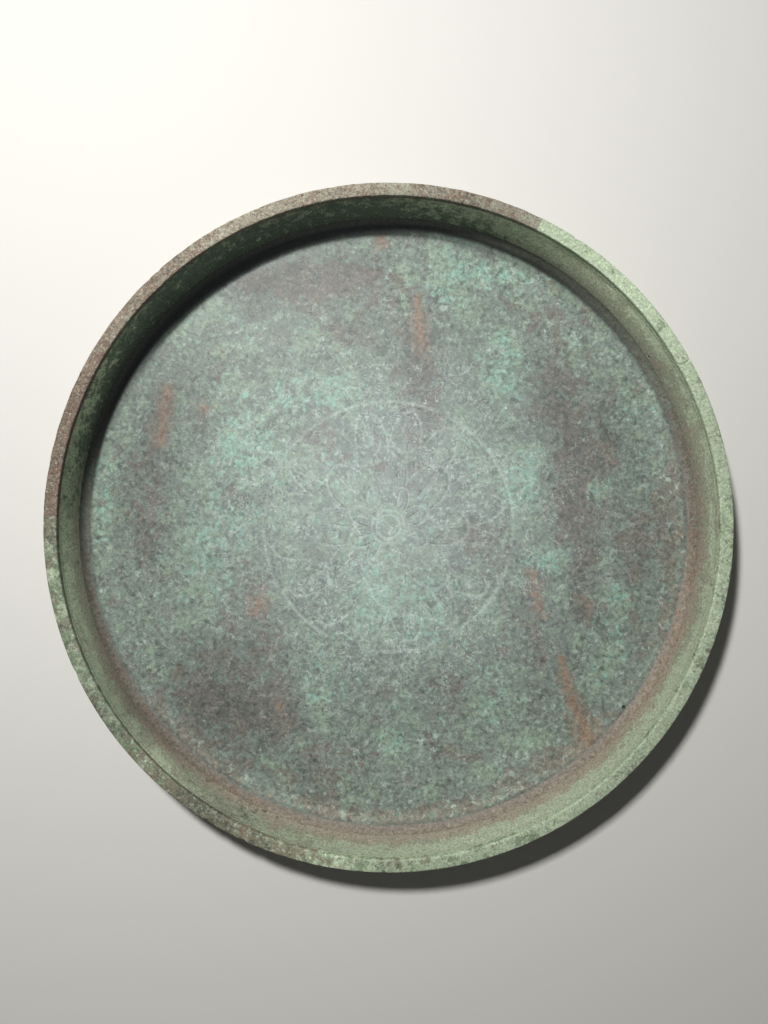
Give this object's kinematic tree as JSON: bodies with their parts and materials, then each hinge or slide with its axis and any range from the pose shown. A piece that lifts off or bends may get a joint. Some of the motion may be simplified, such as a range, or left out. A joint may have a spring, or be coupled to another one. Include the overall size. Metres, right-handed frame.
{
  "type": "tam tam gong",
  "caption": "Round bronze gong: a flat sounding face with a shallow, slightly leaning rim wall and a wide flat lip, under a green and brown patina.",
  "frame": {"origin": "centre of the face plate's underside, which is the striking face", "axes": "+Z along the gong's axis, from the face to the open side; the two hanging holes are on the +X side"},
  "size_m": [0.5, 0.4999, 0.0415],
  "materials": {
    "face_patina": "mottled verdigris over cast bronze, dull",
    "wall_patina": "green and brown patina over bronze, dull",
    "braze_patina": "reddish-brown oxide, dull",
    "lip_crust": "buff mineral crust, rough",
    "lip_patina": "pale green patina, dull"
  },
  "bodies": {
    "root": {"face_plate": "face_patina", "rim_wall": "wall_patina", "foot_braze": "braze_patina", "lip_strip_short": "lip_crust", "lip_strip_long": "lip_patina"}
  },
  "joints": []
}
